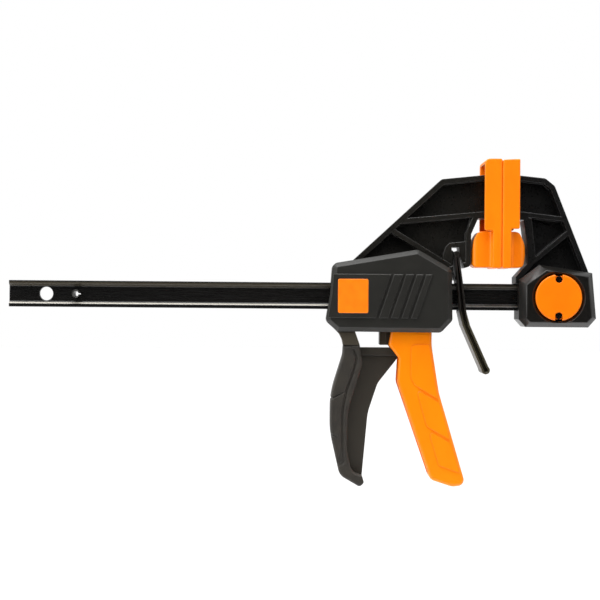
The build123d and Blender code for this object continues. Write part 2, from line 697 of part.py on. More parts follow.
def make_box_cover():
    """The near cover of the lock box, without what is only on one side."""
    face = outline(LOCK_BOX)
    depth = BOX_DEPTH / 2
    form = bevelled(face, depth, BOX_BEVEL)
    cover = form - slab(inset(face, BOX_WALL), BOX_BEVEL - depth, 0)
    cover -= slab(inset(face, BOX_BEVEL), BOX_WALL - depth, BOX_BEVEL - depth)
    cover = add_bosses(cover, form, BOX_SCREWS, BOX_BOSS, BOX_WALL - depth, -HUB_WIDTH / 2 - FIT)
    well = BUTTON / 2 + RUN
    cover -= rod(LOCK_X, 0, 2 * well, -depth, -HUB_WIDTH / 2)
    cone = Cone(well, well + WELL_BEVEL, WELL_BEVEL)
    cover -= Pos(LOCK_X, -depth + WELL_BEVEL / 2, 0) * Rot(90, 0, 0) * cone
    jaw_room = offset(outline(FIXED_JAW, FIXED_JAW_ROUNDS), FIT, kind=Kind.INTERSECTION)
    cover -= middle_slab(jaw_room, RIM_WIDTH + 2 * FIT)
    return cover - bar_passage(0, BAR_HEAD + FIT, FIT)


def near_cover(cover, places, depth, tip):
    """Blind screw holes from inside."""
    for x, z in places:
        cover -= rod(x, z, SCREW + 2 * PIN_FIT, tip - FIT - depth / 2, 0)
    return cover


def far_cover(cover, places, depth, sink):
    """The cover's mirror image, with holes and head recesses for its screws."""
    cover = mirror(cover, Plane.XZ)
    for x, z in places:
        cover -= rod(x, z, SCREW + 2 * FIT, 0, depth)
        cover -= rod(x, z, SCREW_HEAD + 2 * FIT, depth / 2 - SCREW_HEAD_DEPTH - sink, depth)
    return cover


def make_screws(places, depth, tip, sink):
    """Pan head screws with a cross recess, heads on the far side."""
    seat = depth / 2 - SCREW_HEAD_DEPTH - sink
    top = seat + SCREW_HEAD_DEPTH
    screws = []
    for x, z in places:
        screw = rod(x, z, SCREW, tip - depth / 2, seat)
        screw += rod(x, z, SCREW_HEAD, seat, top)
        cross = cross_recess(x, z, SCREW_HEAD)
        screws.append(screw - slab(cross, top - SCREW_HEAD_DEPTH * CROSS_DEPTH, top))
    return Compound(screws)


def badge_outline(gap):
    """The plain badge, with a gap round it."""
    return Pos(BADGE_X, 0) * RectangleRounded(BADGE_WIDTH + 2 * gap, BADGE_HEIGHT + 2 * gap, BADGE_ROUND)


# ---- Trigger and mechanism --------------------------------------------------------------------


def make_trigger():
    """A channel open at the back, with raised panels and two arms that reach past the bar."""
    face = outline(TRIGGER, TRIGGER_ROUNDS)
    trigger = middle_slab(face, TRIGGER_WIDTH - 2 * TRIGGER_PANEL_RAISE)
    trigger = fillet(trigger_front_edges(trigger), TRIGGER_EDGE)
    for points, rounds in zip(TRIGGER_PANELS, TRIGGER_PANEL_ROUNDS):
        panel = outline(points, rounds) & inset(face, TRIGGER_PANEL_INSET)
        trigger += both_sides(panel, TRIGGER_CHANNEL / 2, TRIGGER_WIDTH / 2)
    trigger -= trigger_channel(face)
    arm = outline(TRIGGER_ARM)
    arm += Pos(PIVOT_X, PIVOT_Z) * Circle(ARM_EYE / 2)
    trigger += both_sides(arm, ARM_IN, ARM_OUT)
    return trigger - rod(PIVOT_X, PIVOT_Z, PIVOT_PIN + 2 * PIN_FIT, -ARM_OUT, ARM_OUT)


def trigger_front_edges(trigger):
    """The two long edges that the fingers pull on."""
    low, high = TRIGGER_EDGE_ENDS
    front = [e for e in trigger.edges() if low < e.center().Z < high]
    front = [e for e in front if e.center().X > TRIGGER_FRONT - TRIGGER_EDGE]
    return [e for e in front if abs(e.center().Y) > TRIGGER_WIDTH / 4]


def trigger_channel(face):
    """The hollow of the trigger, which leaves a thick nose behind the drive plates."""
    hollow = inset(face, TRIGGER_WALL) & block(BODY_REAR, 0, BAR_TAIL, NOSE_FOOT)
    for points in (TRIGGER_HOLLOW, TRIGGER_THROAT, PLATE_ROOM):
        hollow += outline(points)
    return middle_slab(hollow, TRIGGER_CHANNEL)


def make_plate(rear):
    """A hardened plate that grips the bar when it tilts."""
    plate = middle_slab(block(rear, rear + PLATE_THICK, PLATE_FOOT, PLATE_TOP), PLATE_WIDTH)
    return plate - bar_passage(rear, rear + PLATE_THICK, FIT)


def make_lever():
    """A lever with a rim all round its sides, a round end and a round top."""
    front = [(x + depth, z) for (x, z), depth in zip(LEVER_PATH, LEVER_DEPTHS)]
    half = LEVER_WIDTH / 2
    end_x, end_z = LEVER_PATH[-1]
    end = Circle(LEVER_DEPTHS[-1] / 2)
    band = outline(LEVER_PATH + front[::-1]) + Pos(end_x + LEVER_DEPTHS[-1] / 2, end_z) * end
    lever = middle_slab(band, LEVER_WIDTH)
    lever -= both_sides(inset(band, LEVER_RIM), half - LEVER_POCKET, half)
    lever += rod(LEVER_PIVOT_X, LEVER_PIVOT_Z, LEVER_BEAD, -half, half)
    return lever - bar_passage(BODY_FRONT, 0, 2 * RUN)


# ---- Lock -------------------------------------------------------------------------------------


def make_button():
    """The disc that is pressed, with a notch for each tie screw and a stub inside the spring."""
    half = BUTTON / 2
    button = rod(LOCK_X, 0, BUTTON, -BUTTON_FACE, -BUTTON_BACK)
    button = chamfer(button.faces().sort_by(Axis.Y)[0].edges(), BUTTON_EDGE)
    button += rod(LOCK_X, 0, LOCK_COIL - LOCK_WIRE - 2 * RUN, -BUTTON_BACK, LOCK_COIL / 4 - BUTTON_BACK)
    for side in (-1, 1):
        low, high = sorted((side * TIE_Z, side * half))
        notch = block(LOCK_X - NOTCH / 2, LOCK_X + NOTCH / 2, low, high)
        notch += Pos(LOCK_X, side * TIE_Z) * Circle(NOTCH / 2)
        button -= slab(notch, -BUTTON_FACE, NOTCH_DEPTH - BUTTON_FACE)
        low, high = sorted((side * (TIE_Z + TIE_HEAD / 2), side * half))
        gap = block(LOCK_X - NOTCH / 2, LOCK_X + NOTCH / 2, low, high)
        button -= slab(gap, -BUTTON_FACE, -BUTTON_BACK)
        button -= rod(LOCK_X, side * TIE_Z, TIE_SCREW + 2 * PIN_FIT, -BUTTON_FACE, 0)
    return button


def make_lock_cap():
    """The far disc, which carries the lock pin and takes the tie screws."""
    cap = rod(LOCK_X, 0, BUTTON, BUTTON_BACK, BUTTON_FACE)
    cap = chamfer(cap.faces().sort_by(Axis.Y)[-1].edges(), BUTTON_EDGE)
    start = HUB_WIDTH / 2 + RUN
    cap += rod(LOCK_X, 0, LOCK_PIN + 2 * BOX_WALL, start, BUTTON_BACK)
    cap -= rod(LOCK_X, 0, LOCK_PIN, start, BUTTON_BACK)
    for z in (-TIE_Z, TIE_Z):
        cap += rod(LOCK_X, z, TIE_BOSS, start, BUTTON_BACK)
        cap -= rod(LOCK_X, z, TIE_SCREW + 2 * PIN_FIT, start, BUTTON_BACK + SLACK)
    return cap


def make_lock_pin():
    """The pin through the bar's web. It leaves the web when the button is pressed."""
    tip = BAR_WEB / 2 + LOCK_CLEAR - LOCK_TRAVEL
    pin = rod(LOCK_X, 0, LOCK_PIN, tip, BUTTON_BACK)
    return chamfer(pin.faces().sort_by(Axis.Y)[0].edges(), 2 * RUN)


def make_tie_screws():
    """The screws that hold the button and the cap together through the hub."""
    seat = NOTCH_DEPTH - BUTTON_FACE
    top = seat - TIE_HEAD_DEPTH
    screws = []
    for z in (-TIE_Z, TIE_Z):
        screw = rod(LOCK_X, z, TIE_SCREW, seat, BUTTON_BACK + SLACK - FIT)
        screw += rod(LOCK_X, z, TIE_HEAD, top, seat)
        cross = cross_recess(LOCK_X, z, TIE_HEAD)
        screws.append(screw - slab(cross, top, top + TIE_HEAD_DEPTH * CROSS_DEPTH))
    return Compound(screws)


# ---- Springs in place -------------------------------------------------------------------------


def make_drive_spring():
    """Round the bar, between the chamber's rear wall and the drive plates."""
    spring = coil(DRIVE_COIL, DRIVE_WIRE, DRIVE_TURNS, PLATE_REAR - CAGE_REAR - 2 * PIN_FIT)
    return Pos(CAGE_REAR + PIN_FIT, 0, 0) * Rot(0, 90, 0) * spring


def make_brake_spring():
    """In its pocket above the bar, pushing the lever away from the body."""
    start = BODY_FRONT - BRAKE_POCKET + PIN_FIT
    spring = coil(BRAKE_COIL, BRAKE_WIRE, BRAKE_TURNS, lever_back(BRAKE_Z) - start - 2 * PIN_FIT)
    return Pos(start, 0, BRAKE_Z) * Rot(0, 90, 0) * spring


def lever_back(z):
    """Where the lever's rear face stands at a height between its top and the bar."""
    (x_high, z_high), (x_low, z_low) = LEVER_PATH[0], LEVER_PATH[1]
    return x_low + (x_high - x_low) * (z - z_low) / (z_high - z_low)


def make_lock_spring():
    """Between the bottom of the hub's pocket and the button."""
    length = BUTTON_BACK - HUB_WIDTH / 2 + LOCK_POCKET - 2 * PIN_FIT
    spring = coil(LOCK_COIL, LOCK_WIRE, LOCK_TURNS, length)
    return Pos(LOCK_X, PIN_FIT - BUTTON_BACK, 0) * Rot(-90, 0, 0) * spring


# ---- All nodes --------------------------------------------------------------------------------


def make_nodes():
    body_cover = make_body_cover()
    box_cover = make_box_cover()
    near_body = near_cover(body_cover, COVER_SCREWS, BODY_DEPTH, BODY_SCREW_TIP)
    badge_back = BADGE_THICK - PANEL_FACE
    near_body -= slab(badge_outline(PIN_FIT), -PANEL_FACE, badge_back)
    half_pin = PIVOT_PIN_LENGTH / 2
    return {
        "bar": make_bar(),
        "bar_stop_pin": make_stop_pin(),
        "fixed_jaw_frame": make_fixed_jaw_frame(),
        "fixed_jaw_pad": make_pad(1),
        "lock_box_near_cover": near_cover(box_cover, BOX_SCREWS, BOX_DEPTH, BOX_SCREW_TIP),
        "lock_box_far_cover": far_cover(box_cover, BOX_SCREWS, BOX_DEPTH, BOX_SCREW_SINK),
        "lock_box_screws": make_screws(BOX_SCREWS, BOX_DEPTH, BOX_SCREW_TIP, BOX_SCREW_SINK),
        "lock_spring": make_lock_spring(),
        "lock_button": make_button(),
        "lock_cap": make_lock_cap(),
        "lock_pin": make_lock_pin(),
        "lock_tie_screws": make_tie_screws(),
        "moving_jaw_frame": make_moving_jaw_frame(),
        "moving_jaw_pad": make_pad(-1),
        "body_near_cover": near_body,
        "body_far_cover": far_cover(body_cover, COVER_SCREWS, BODY_DEPTH, BODY_SCREW_SINK),
        "body_screws": make_screws(COVER_SCREWS, BODY_DEPTH, BODY_SCREW_TIP, BODY_SCREW_SINK),
        "badge_inlay": slab(badge_outline(0), -PANEL_FACE - BADGE_PROUD, badge_back),
        "grip": make_grip(),
        "trigger_pin": rod(PIVOT_X, PIVOT_Z, PIVOT_PIN, -half_pin, half_pin),
        "trigger": make_trigger(),
        "drive_plate_rear": make_plate(PLATE_REAR),
        "drive_plate_front": make_plate(PLATE_REAR + PLATE_THICK),
        "drive_spring": make_drive_spring(),
        "release_lever": make_lever(),
        "brake_spring": make_brake_spring(),
    }


def main():
    """Write each node with the origin at the middle of the fixed jaw's pad face."""
    os.makedirs("parts", exist_ok=True)
    for name, shape in make_nodes().items():
        export_step(Pos(0, 0, -PAD_MIDDLE) * shape, f"parts/{name}.step")


main()
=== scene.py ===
import json
import math

import bmesh
import bpy
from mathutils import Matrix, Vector

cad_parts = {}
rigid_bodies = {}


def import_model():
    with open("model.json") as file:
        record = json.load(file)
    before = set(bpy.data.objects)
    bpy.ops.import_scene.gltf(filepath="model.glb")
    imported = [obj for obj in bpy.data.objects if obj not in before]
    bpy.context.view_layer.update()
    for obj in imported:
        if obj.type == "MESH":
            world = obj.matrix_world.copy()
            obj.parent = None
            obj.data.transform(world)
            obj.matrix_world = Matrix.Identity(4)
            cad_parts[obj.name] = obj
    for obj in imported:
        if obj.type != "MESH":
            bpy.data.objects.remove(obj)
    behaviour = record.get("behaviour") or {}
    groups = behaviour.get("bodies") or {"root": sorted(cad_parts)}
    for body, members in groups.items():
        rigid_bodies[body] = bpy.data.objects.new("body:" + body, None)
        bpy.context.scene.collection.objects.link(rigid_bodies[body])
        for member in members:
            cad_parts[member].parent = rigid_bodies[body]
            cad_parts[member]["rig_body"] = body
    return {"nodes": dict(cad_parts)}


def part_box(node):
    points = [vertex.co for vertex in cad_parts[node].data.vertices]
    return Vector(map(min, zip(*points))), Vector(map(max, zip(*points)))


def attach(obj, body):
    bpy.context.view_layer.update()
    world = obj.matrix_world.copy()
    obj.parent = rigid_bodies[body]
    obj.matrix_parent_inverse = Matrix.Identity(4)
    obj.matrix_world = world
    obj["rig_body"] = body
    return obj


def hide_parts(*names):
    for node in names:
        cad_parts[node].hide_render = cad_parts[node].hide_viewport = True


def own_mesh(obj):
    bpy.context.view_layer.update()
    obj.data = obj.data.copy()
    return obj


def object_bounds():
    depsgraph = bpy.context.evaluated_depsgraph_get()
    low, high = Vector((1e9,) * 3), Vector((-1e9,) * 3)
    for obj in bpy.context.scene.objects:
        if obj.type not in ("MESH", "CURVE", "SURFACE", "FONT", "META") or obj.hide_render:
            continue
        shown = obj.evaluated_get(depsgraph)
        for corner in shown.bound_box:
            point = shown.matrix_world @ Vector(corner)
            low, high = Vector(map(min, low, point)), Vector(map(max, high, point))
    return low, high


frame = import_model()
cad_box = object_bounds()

# ---- Studio ---------------------------------------------------------------------------------------
# A long lens looks straight at the clamp's near side, over white paper that runs far out behind it. One
# wide soft box hangs above and two smaller ones stand at the sides. The room in front stays dark, so that
# flat near faces keep their own deep colour.

scene = bpy.context.scene
scene.view_settings.view_transform = "Standard"

LENS_MM = 89.8
SENSOR_MM = 36
CAMERA_AWAY = 0.950
CAMERA_X = -0.1261
CAMERA_Z = -0.0552
CAMERA_ROLL = math.radians(0.47)

camera_data = bpy.data.cameras.new("camera")
camera_data.lens = LENS_MM
camera_data.sensor_width = SENSOR_MM
camera_data.clip_end = 30
camera = bpy.data.objects.new("camera", camera_data)
camera.location = (CAMERA_X, -CAMERA_AWAY, CAMERA_Z)
camera.rotation_euler = (math.radians(90), -CAMERA_ROLL, 0)
scene.collection.objects.link(camera)
scene.camera = camera


def soft_box(name, place, aim, width, height, watts):
    """A rectangular soft box at a place, turned towards what it lights. Sizes are in metres."""
    data = bpy.data.lights.new(name, "AREA")
    data.shape = "RECTANGLE"
    data.size = width
    data.size_y = height
    data.energy = watts
    box = bpy.data.objects.new(name, data)
    box.location = place
    box.rotation_euler = (Vector(aim) - Vector(place)).to_track_quat("-Z", "Y").to_euler()
    scene.collection.objects.link(box)


MIDDLE = (CAMERA_X, 0, CAMERA_Z)
soft_box("overhead_box", (-0.20, -0.24, 0.62), MIDDLE, width=1.0, height=0.35, watts=7.0)
soft_box("left_box", (-0.98, -0.50, 0.22), MIDDLE, width=0.3, height=0.8, watts=4.5)
soft_box("right_box", (0.80, -0.62, 0.05), MIDDLE, width=0.3, height=0.8, watts=1.2)


def colour(code):
    """An sRGB hex code as the linear colour that the shaders take."""
    parts = [int(code[i : i + 2], 16) / 255 for i in (1, 3, 5)]
    return (*[p / 12.92 if p <= 0.04045 else ((p + 0.055) / 1.055) ** 2.4 for p in parts], 1.0)


def add(tree, kind, settings=None, links=None):
    """Adds a node to a tree, with its settings and with a value or a link for each input named."""
    made = tree.nodes.new(kind)
    for name, value in (settings or {}).items():
        setattr(made, name, value)
    for name, value in (links or {}).items():
        socket = made.inputs[name]
        if isinstance(name, str):
            socket = [s for s in made.inputs if s.name == name and s.enabled][0]
        if hasattr(value, "is_output"):
            tree.links.new(value, socket)
        else:
            socket.default_value = value
    return made


def out_of(node, name="Result"):
    """The output of that name that a node shows with its settings."""
    return [s for s in node.outputs if s.name == name and s.enabled][0]


# The room is white above, dimmer towards the horizon and dark in front, and pure white behind the clamp as
# the lens sees it.
world = bpy.data.worlds.new("white_studio")
world.use_nodes = True
scene.world = world
sky = world.node_tree
sky.nodes.clear()
away = add(sky, "ShaderNodeTexCoord").outputs["Generated"]
away = add(sky, "ShaderNodeSeparateXYZ", links={"Vector": away}).outputs
above = add(sky, "ShaderNodeMath", {"operation": "MAXIMUM"}, {0: away["Z"], 1: 0}).outputs["Value"]
front = add(sky, "ShaderNodeMath", {"operation": "MULTIPLY_ADD"}, {0: above, 1: 0.9, 2: away["Y"]})
room = add(
    sky,
    "ShaderNodeMapRange",
    {"interpolation_type": "SMOOTHSTEP"},
    {"Value": front.outputs["Value"], "From Min": -0.8, "From Max": -0.1, "To Min": 0.02, "To Max": 1.0},
)
height = add(sky, "ShaderNodeMapRange", links={"Value": above, "To Min": 0.3, "To Max": 1.6})
room = add(sky, "ShaderNodeMath", {"operation": "MULTIPLY"}, {0: out_of(room), 1: out_of(height)})
seen = add(sky, "ShaderNodeLightPath").outputs["Is Camera Ray"]
strength = out_of(add(sky, "ShaderNodeMix", links={"Factor": seen, "A": room.outputs["Value"], "B": 1.0}))
glow = add(sky, "ShaderNodeBackground", links={"Color": (1, 1, 1, 1), "Strength": strength})
add(sky, "ShaderNodeOutputWorld", links={"Surface": glow.outputs["Background"]})

FLOOR_BELOW = 0.16
FLOOR_REACH = 4.0
FLOOR_FRONT = -0.4
FLOOR_SIDES = 64

floor_form = bmesh.new()
turns = [math.tau * i / FLOOR_SIDES for i in range(FLOOR_SIDES)]
floor_form.faces.new([floor_form.verts.new((math.cos(a), math.sin(a), 0)) for a in turns])
floor_data = bpy.data.meshes.new("floor")
floor_form.to_mesh(floor_data)
floor_form.free()
floor = bpy.data.objects.new("floor", floor_data)
floor.scale = (FLOOR_REACH, FLOOR_REACH, 1)
floor.location = (CAMERA_X, FLOOR_FRONT + FLOOR_REACH, cad_box[0][2] - FLOOR_BELOW)
scene.collection.objects.link(floor)

# Matt white background paper: no gloss, a faint cloudiness.
paper = bpy.data.materials.new("white_background_paper")
paper.use_nodes = True
sheet = paper.node_tree
cloud = add(sheet, "ShaderNodeTexNoise", links={"Scale": 3.0}).outputs["Fac"]
tints = {"Factor": cloud, "A": colour("#fdfdfd"), "B": colour("#fafafa")}
tint = out_of(add(sheet, "ShaderNodeMix", {"data_type": "RGBA"}, tints))
sheet.links.new(tint, sheet.nodes["Principled BSDF"].inputs["Base Color"])
sheet.nodes["Principled BSDF"].inputs["Roughness"].default_value = 0.95
floor.data.materials.append(paper)

# ---- Bar ------------------------------------------------------------------------------------------
# A cold-rolled steel I section with sloping inner faces, cut to length, drilled for the lock pin at both
# ends and for the stop pin, then stove-enamelled black. Bands of painted highlight and painted reflection
# run along the flanges.

MM = 0.001


def finish(
    name,
    tints,
    edge,
    lump,
    grain,
    gloss,
    depth,
    round_over=0.3,
    stretch=(1, 1, 1),
    patchiness=0,
    **values,
):
    """A material of two tints that drift into each other in lumps, over a fine grain with a real depth.

    Edges are rounded for the light and show a tint of their own, partly wear and partly painted highlight
    and shade along the edges, which the patchiness breaks into patches. The gloss follows the grain between
    two roughnesses. Sizes are in millimetres, values go to the shader. A grain under 0.3 mm wouldn't show,
    so none is drawn finer.
    """
    made = bpy.data.materials.new(name)
    made.use_nodes = True
    tree, shader = made.node_tree, made.node_tree.nodes["Principled BSDF"]
    for socket, value in values.items():
        shader.inputs[socket.replace("_", " ")].default_value = value
    place = add(tree, "ShaderNodeTexCoord").outputs["Object"]
    noises = []
    for size, detail in ((lump, 3.0), (grain, 2.0)):
        scale = tuple(1 / (size * MM * s) for s in stretch)
        spot = add(tree, "ShaderNodeMapping", links={"Vector": place, "Scale": scale}).outputs["Vector"]
        noise = add(tree, "ShaderNodeTexNoise", links={"Vector": spot, "Scale": 1.0, "Detail": detail})
        noises.append(out_of(noise, "Fac"))
    drift, fine = noises
    rounded = add(tree, "ShaderNodeBevel", {"samples": 6}, {"Radius": round_over * MM}).outputs["Normal"]
    flat = add(tree, "ShaderNodeNewGeometry").outputs["Normal"]
    # The edge's tint begins where the rounded surface leans 11 degrees off the flat one, and is full at 52.
    turn = add(tree, "ShaderNodeVectorMath", {"operation": "DOT_PRODUCT"}, {0: rounded, 1: flat})
    ends = {"Value": turn.outputs["Value"], "From Min": 0.98, "From Max": 0.62}
    line = out_of(add(tree, "ShaderNodeMapRange", {"interpolation_type": "SMOOTHSTEP"}, ends))
    patch = {"Value": drift, "From Min": 0.35, "From Max": 0.65, "To Min": 1 - patchiness, "To Max": 1}
    patch = out_of(add(tree, "ShaderNodeMapRange", links=patch))
    line = add(tree, "ShaderNodeMath", {"operation": "MULTIPLY"}, {0: line, 1: patch}).outputs["Value"]
    ends = {"Value": drift, "From Min": 0.3, "From Max": 0.7}
    share = out_of(add(tree, "ShaderNodeMapRange", links=ends))
    ends = {"Factor": share, "A": colour(tints[0]), "B": colour(tints[1])}
    skin = out_of(add(tree, "ShaderNodeMix", {"data_type": "RGBA"}, ends))
    ends = {"Factor": line, "A": skin, "B": colour(edge)}
    skin = out_of(add(tree, "ShaderNodeMix", {"data_type": "RGBA"}, ends))
    ends = {"Value": fine, "From Min": 0.3, "From Max": 0.7, "To Min": gloss[0], "To Max": gloss[1]}
    rough = out_of(add(tree, "ShaderNodeMapRange", links=ends))
    ends = {"Height": fine, "Distance": depth * MM, "Normal": rounded}
    bumped = add(tree, "ShaderNodeBump", links=ends).outputs["Normal"]
    for value, socket in ((skin, "Base Color"), (rough, "Roughness"), (bumped, "Normal")):
        tree.links.new(value, shader.inputs[socket])
    return made


# Stoving enamel on rolled steel: near black, satin, with mill lines that run along the bar, and a grey edge
# tint that is partly bare steel where an edge is rubbed and partly painted highlight. Real mill lines are a
# few hundredths of a millimetre wide, so they are drawn half a millimetre wide to show.
enamel = finish(
    "black_stove_enamel",
    ("#0a0a0a", "#131211"),
    "#4a4844",
    lump=6,
    grain=0.5,
    gloss=(0.2, 0.34),
    depth=0.015,
    round_over=0.8,
    stretch=(40, 1, 1),
    patchiness=0.7,
    IOR=1.5,
)


def place_in(tree):
    """Where a point of the clamp lies, as the outputs X, Y and Z."""
    place = add(tree, "ShaderNodeTexCoord").outputs["Object"]
    return add(tree, "ShaderNodeSeparateXYZ", links={"Vector": place}).outputs


def paint_over(tree, share, **values):
    """Lets a share of each value given show through a finished material; every use here lays painted light
    over it.
    """
    for name, value in values.items():
        socket = tree.nodes["Principled BSDF"].inputs[name.replace("_", " ")]
        kind = {"data_type": "RGBA" if socket.type == "RGBA" else "FLOAT"}
        ends = {"Factor": share, "A": socket.links[0].from_socket, "B": value}
        tree.links.new(out_of(add(tree, "ShaderNodeMix", kind, ends)), socket)


# A bright band of painted highlight runs along the lower flange's slope, and a dull brown band of painted
# reflection lies under the upper flange, both strongest behind the covers. Each line is a tint, its middle
# height, half its width, and how far it shows in front of the covers. It is full over the inner part of its
# width.
PAINTED_FLANGE_LIGHT = (("#b0aca2", -58.2, 0.55, 0.2), ("#3b362c", -46.2, 1.6, 0.8))
PAINTED_FLANGE_LIGHT_BEHIND = (-112, -100)
PAINTED_FLANGE_LIGHT_FULL = 0.6
tree = enamel.node_tree
place = place_in(tree)
# Paints each band of highlight and reflection into the enamel's colour.
for tint, middle, reach, ahead in PAINTED_FLANGE_LIGHT:
    off = add(tree, "ShaderNodeMath", {"operation": "SUBTRACT"}, {0: place["Z"], 1: middle * MM})
    off = add(tree, "ShaderNodeMath", {"operation": "ABSOLUTE"}, {0: off.outputs["Value"]}).outputs["Value"]
    start, end = (x * MM for x in PAINTED_FLANGE_LIGHT_BEHIND)
    ends = {"Value": place["X"], "From Min": start, "From Max": end, "To Min": 1.0, "To Max": ahead}
    most = out_of(add(tree, "ShaderNodeMapRange", links=ends))
    reach *= MM
    ends = {"Value": off, "From Min": reach, "From Max": PAINTED_FLANGE_LIGHT_FULL * reach, "To Max": most}
    paint_over(tree, out_of(add(tree, "ShaderNodeMapRange", links=ends)), Base_Color=colour(tint))

# The angle between two faces up to which they are one flat, from which the edge between them looks crisp,
# and from which it is rounded.
FLAT_ANGLE = math.radians(0.6)
CRISP_ANGLE = math.radians(20)
HARD_ANGLE = math.radians(32)


def clean(form, grain):
    """Welds a form's points and melts what lies flat into single faces."""
    bmesh.ops.remove_doubles(form, verts=form.verts, dist=grain)
    bmesh.ops.dissolve_limit(
        form, angle_limit=FLAT_ANGLE, verts=form.verts, edges=form.edges, delimit=set()
    )
    form.edges.index_update()


def draft_of(form):
    """An object with a form's mesh, to be worked on and left out of the scene later."""
    data = bpy.data.meshes.new("draft")
    form.to_mesh(data)
    form.free()
    draft = bpy.data.objects.new("draft", data)
    scene.collection.objects.link(draft)
    return draft


def round_off(form, hard, radius):
    """A draft of a form whose hard edges, given by their numbers, are rounded by that radius.

    Other edges with a clear angle stay crisp.
    """
    weight = form.edges.layers.float.new("bevel_weight_edge")
    form.edges.ensure_lookup_table()
    for edge in form.edges:
        edge.smooth = not edge.is_manifold or edge.calc_face_angle() < CRISP_ANGLE
    for number in hard:
        form.edges[number][weight] = 1.0
        form.edges[number].smooth = True
    for face in form.faces:
        face.smooth = True
    draft = draft_of(form)
    rounding = draft.modifiers.new("rounding", "BEVEL")
    rounding.width = radius
    rounding.segments = 2
    rounding.limit_method = "WEIGHT"
    rounding.use_clamp_overlap = False
    draft.modifiers.new("flats", "WEIGHTED_NORMAL").keep_sharp = True
    return draft


def settle(draft, node):
    """Applies a draft's modifiers and puts the piece in the node's place, on the node's body."""
    evaluated = draft.evaluated_get(bpy.context.evaluated_depsgraph_get())
    data = bpy.data.meshes.new_from_object(evaluated)
    bpy.data.objects.remove(draft)
    data.materials.clear()
    piece = bpy.data.objects.new(node + "_piece", data)
    scene.collection.objects.link(piece)
    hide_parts(node)
    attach(piece, frame["nodes"][node]["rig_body"])
    return piece


def soften(node, radius):
    """A copy of a node's mesh with its hard edges rounded by that radius. It stands in for the node."""
    form = bmesh.new()
    form.from_mesh(frame["nodes"][node].data)
    clean(form, 0.002 * MM)
    hard = [e.index for e in form.edges if e.is_manifold and e.calc_face_angle() > HARD_ANGLE]
    return settle(round_off(form, hard, radius), node)


def dress(piece, material):
    """Gives a piece its finish."""
    piece.data.materials.append(material)


dress(soften("bar", 0.25 * MM), enamel)

# The stop pin is rolled from spring steel strip, hardened, and left with a dull grey phosphate skin.
phosphate = finish(
    "phosphated_spring_steel",
    ("#6d6c69", "#403f3c"),
    "#8a8986",
    lump=1.2,
    grain=0.4,
    gloss=(0.32, 0.5),
    depth=0.008,
    round_over=0.15,
    Metallic=1.0,
)
dress(soften("bar_stop_pin", 0.12 * MM), phosphate)

# ---- Fixed jaw ------------------------------------------------------------------------------------
# Injection moulded in glass-filled nylon: a thin middle wall with a broad rim and ribs on both sides, and
# a hub at its foot that is pressed over the bar's end. It comes from the mould smooth and half glossy.

nylon = finish(
    "glass_filled_nylon",
    ("#070707", "#0d0c0b"),
    "#2b2a28",
    lump=9,
    grain=0.7,
    gloss=(0.26, 0.4),
    depth=0.01,
    round_over=0.6,
    stretch=(1, 1, 2),
    IOR=1.53,
)
dress(soften("fixed_jaw_frame", 0.3 * MM), nylon)

# ---- Pads -----------------------------------------------------------------------------------------
# Each pad is moulded in one from a firm orange rubber-like elastomer and slips over the front of its jaw.
# Moulds for such soft parts have no sharp inside corners, so every edge and hollow of the pad runs round.


def remould(node, grain, passes, keep):
    """A copy of a node with all its edges and hollows run soft, as rubber comes from its mould.

    The mesh has that grain, is eased in so many passes, and keeps that share of its faces.
    """
    data = frame["nodes"][node].data.copy()
    draft = bpy.data.objects.new("draft", data)
    scene.collection.objects.link(draft)
    mould = draft.modifiers.new("mould", "REMESH")
    mould.mode = "VOXEL"
    mould.voxel_size = grain
    mould.use_smooth_shade = True
    ease = draft.modifiers.new("ease", "SMOOTH")
    ease.factor = 0.5
    ease.iterations = passes
    thin = draft.modifiers.new("thin", "DECIMATE")
    thin.ratio = keep
    return settle(draft, node)


# The elastomer is dyed through: an even orange with a soft sheen, and painted shade makes it a little
# deeper along its edges.
pad_rubber = finish(
    "orange_elastomer",
    ("#ff8600", "#fd7e00"),
    "#ee6800",
    lump=12,
    grain=0.6,
    gloss=(0.34, 0.44),
    depth=0.008,
    round_over=0.6,
    stretch=(1, 1, 2),
    IOR=1.5,
    Specular_IOR_Level=0.3,
)
for pad in ("fixed_jaw_pad", "moving_jaw_pad"):
    dress(remould(pad, grain=0.45 * MM, passes=4, keep=0.5), pad_rubber)

# ---- Lock box -------------------------------------------------------------------------------------
# Two mirrored shells of black ABS with wide bevels, closed round the hub by four screws from the far
# side. The mould's flat face is polished, so it reflects the dark room, and the bevels catch the light.

box_abs = finish(
    "polished_black_abs",
    ("#0d0c0a", "#13110e"),
    "#3a3832",
    lump=7,
    grain=0.45,
    gloss=(0.28, 0.38),
    depth=0.01,
    IOR=1.54,
    Specular_IOR_Level=0.4,
)

# The outline, the width of the bevel on each of its sides, and the depths between which the bevels rise.
BOX_OUTLINE = [
    (11.3, -66.3),
    (11.3, -41.4),
    (24.0, -31.9),
    (57.2, -36.8),
    (59.8, -65.4),
    (54.9, -71.0),
    (15.6, -71.0),
]
BOX_BEVELS = [4.3, 5.2, 3.0, 3.5, 3.3, 3.1, 3.7]
BOX_BEVEL_FOOT = 10.4
BOX_FLAT = 16.0
BOX_ROUNDING = 0.6
# The room for the button and the screws' recesses, as rings of (depth, radius) round their axes.
LOCK_AXIS = (35.5, -52.4)
WELL_RINGS = ((5.0, 14.83), (14.1, 14.83), (18.0, 18.73))
SCREW_AXES = [(24.4, -38.8), (48.6, -40.6), (19.0, -65.0), (52.0, -65.0)]
RECESS_RINGS = ((5.0, 2.92), (18.0, 2.92))
RING_SIDES = 96
